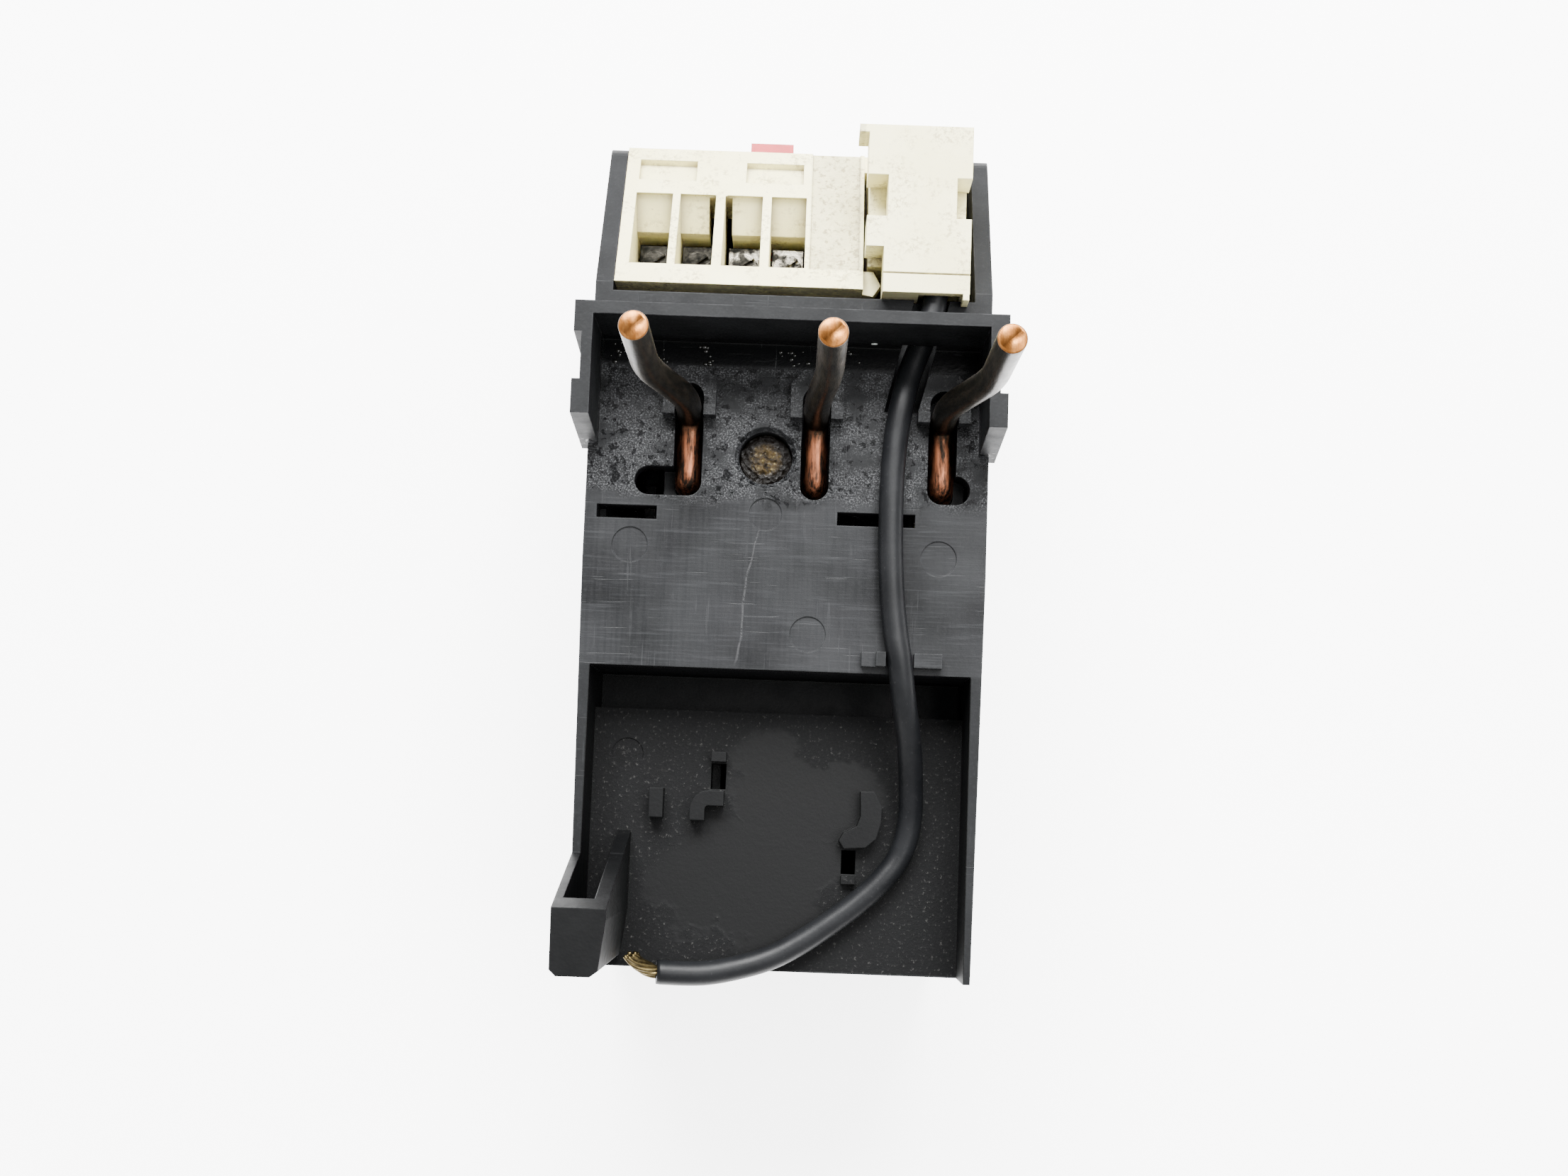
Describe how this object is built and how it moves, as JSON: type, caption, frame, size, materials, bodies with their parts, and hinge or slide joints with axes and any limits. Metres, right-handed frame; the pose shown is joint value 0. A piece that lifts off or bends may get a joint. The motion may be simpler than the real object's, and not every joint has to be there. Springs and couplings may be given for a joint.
{
  "type": "thermal overload relay",
  "caption": "Plug-on thermal overload relay for motor protection, with contact pins, auxiliary terminals, setting dial and buttons.",
  "frame": {"origin": "centre of the bottom of the relay's bounding box, measured without the lead", "axes": "+Z towards the contactor, along the contact pins; -Y towards the front with the controls; +X to the right seen from the front"},
  "size_m": [0.0468, 0.103, 0.091],
  "materials": {
    "black_plastic": "matte, satin where rubbed",
    "cream_plastic": "satin, stained",
    "grey_plastic": "matte",
    "tan_plastic": "matte",
    "red_plastic": "gloss",
    "blue_plastic": "gloss",
    "yellow_plastic": "gloss",
    "copper": "oxidised, bright cut ends",
    "brass": "satin",
    "steel": "nickel plated",
    "bimetal": "brushed",
    "heater_wire": "heat tinted",
    "sleeve": "woven glass",
    "resin": "glossy amber",
    "lead_pvc": "glossy",
    "strands": "tinned, tarnished"
  },
  "bodies": {
    "housing": {"main_housing": "black_plastic", "bottom_cover": "black_plastic", "main_terminal_block": "black_plastic", "front_panel": "cream_plastic", "aux_terminal_block": "cream_plastic", "coil_adaptor_body": "cream_plastic", "coil_adaptor_cap": "cream_plastic", "mechanism_frame": "grey_plastic", "contact_pin_1": "copper", "contact_pin_2": "copper", "contact_pin_3": "copper", "heater_leads": "copper", "load_links": "copper", "nc_fixed_contacts": "brass", "no_fixed_contacts": "brass", "calibration_screw": "brass", "cover_screws": "steel", "main_terminal_clamps": "steel", "main_terminal_screws": "steel", "aux_terminal_clamps": "steel", "aux_terminal_screws": "steel", "coil_terminal_clamp": "steel", "coil_terminal_screw": "steel", "bimetal_holders": "steel", "trip_lever_pivot": "steel", "compensation_pivot": "steel", "snap_spring": "steel", "test_button_spring": "steel", "reset_button_spring": "steel", "resin_seal": "resin", "lead": "lead_pvc", "lead_strands": "strands"},
    "trip_slide": {"trip_slide": "tan_plastic"},
    "differential_slide": {"differential_slide": "tan_plastic"},
    "differential_lever": {"differential_lever": "cream_plastic"},
    "trip_lever": {"trip_lever": "cream_plastic"},
    "compensation_lever": {"compensation_lever": "bimetal"},
    "setting_dial": {"setting_dial": "cream_plastic", "setting_cam": "brass"},
    "contact_carrier": {"contact_carrier": "cream_plastic", "nc_bridge": "copper", "no_bridge": "copper"},
    "trip_indicator": {"trip_indicator": "yellow_plastic"},
    "test_button": {"test_button": "red_plastic"},
    "reset_button": {"reset_button": "blue_plastic"},
    "bimetal_1": {"bimetal_1": "bimetal", "insulating_sleeve_1": "sleeve", "heater_winding_1": "heater_wire"},
    "bimetal_2": {"bimetal_2": "bimetal", "insulating_sleeve_2": "sleeve", "heater_winding_2": "heater_wire"},
    "bimetal_3": {"bimetal_3": "bimetal", "insulating_sleeve_3": "sleeve", "heater_winding_3": "heater_wire"}
  },
  "joints": [
    {"name": "test_button_press", "type": "slide", "parent": "housing", "child": "test_button", "axis": [0, 1, 0], "range_m": [0, 0.0025], "stiffness_N_per_m": 600, "springref_m": -0.001, "deforming": ["test_button_spring"]},
    {"name": "reset_button_press", "type": "slide", "parent": "housing", "child": "reset_button", "axis": [0, 1, 0], "range_m": [0, 0.0025], "stiffness_N_per_m": 600, "springref_m": -0.001, "deforming": ["reset_button_spring"]},
    {"name": "setting_dial_turn", "type": "hinge", "parent": "housing", "child": "setting_dial", "pos_m": [0.014, -0.046, 0.0295], "axis": [0, 1, 0], "range_deg": [0, 160]},
    {"name": "trip_slide_travel", "type": "slide", "parent": "housing", "child": "trip_slide", "axis": [1, 0, 0], "range_m": [0, 0.002], "stiffness_N_per_m": 300, "springref_m": -0.0005, "deforming": ["snap_spring"]},
    {"name": "differential_slide_travel", "type": "slide", "parent": "housing", "child": "differential_slide", "axis": [1, 0, 0], "range_m": [0, 0.0011]},
    {"name": "differential_lever_turn", "type": "hinge", "parent": "trip_slide", "child": "differential_lever", "pos_m": [-0.0175, 0.0191, 0.027], "axis": [0, 1, 0], "range_deg": [0, 5]},
    {"name": "trip_lever_turn", "type": "hinge", "parent": "housing", "child": "trip_lever", "pos_m": [0.007, 0.004, 0.03], "axis": [0, 0, -1], "range_deg": [0, 10]},
    {"name": "contact_carrier_travel", "type": "slide", "parent": "housing", "child": "contact_carrier", "axis": [0, 1, 0], "range_m": [0, 0.0019]},
    {"name": "trip_indicator_travel", "type": "slide", "parent": "housing", "child": "trip_indicator", "axis": [0, -1, 0], "range_m": [0, 0.0021]},
    {"name": "compensation_lever_turn", "type": "hinge", "parent": "housing", "child": "compensation_lever", "pos_m": [0.014, -0.006, 0.024], "axis": [1, 0, 0], "range_deg": [0, 7]},
    {"name": "bimetal_1_bend", "type": "hinge", "parent": "housing", "child": "bimetal_1", "pos_m": [0.014, 0.045, 0.02], "axis": [0, 0, 1], "range_deg": [0, 4]},
    {"name": "bimetal_2_bend", "type": "hinge", "parent": "housing", "child": "bimetal_2", "pos_m": [0, 0.045, 0.02], "axis": [0, 0, 1], "range_deg": [0, 4]},
    {"name": "bimetal_3_bend", "type": "hinge", "parent": "housing", "child": "bimetal_3", "pos_m": [-0.014, 0.045, 0.02], "axis": [0, 0, 1], "range_deg": [0, 4]}
  ],
  "couplings": [
    {"joint": "differential_slide_travel", "follows": "trip_slide_travel", "ratio": 0.5},
    {"joint": "differential_lever_turn", "follows": "trip_slide_travel", "rad_per_m": 35.7},
    {"joint": "trip_lever_turn", "follows": "trip_slide_travel", "rad_per_m": 78.1},
    {"joint": "contact_carrier_travel", "follows": "trip_slide_travel", "ratio": 0.9},
    {"joint": "trip_indicator_travel", "follows": "trip_slide_travel", "ratio": 1},
    {"joint": "compensation_lever_turn", "follows": "setting_dial_turn", "ratio": 0.0368},
    {"joint": "bimetal_1_bend", "follows": "trip_slide_travel", "rad_per_m": 31.4},
    {"joint": "bimetal_2_bend", "follows": "trip_slide_travel", "rad_per_m": 31.4},
    {"joint": "bimetal_3_bend", "follows": "trip_slide_travel", "rad_per_m": 31.4}
  ]
}
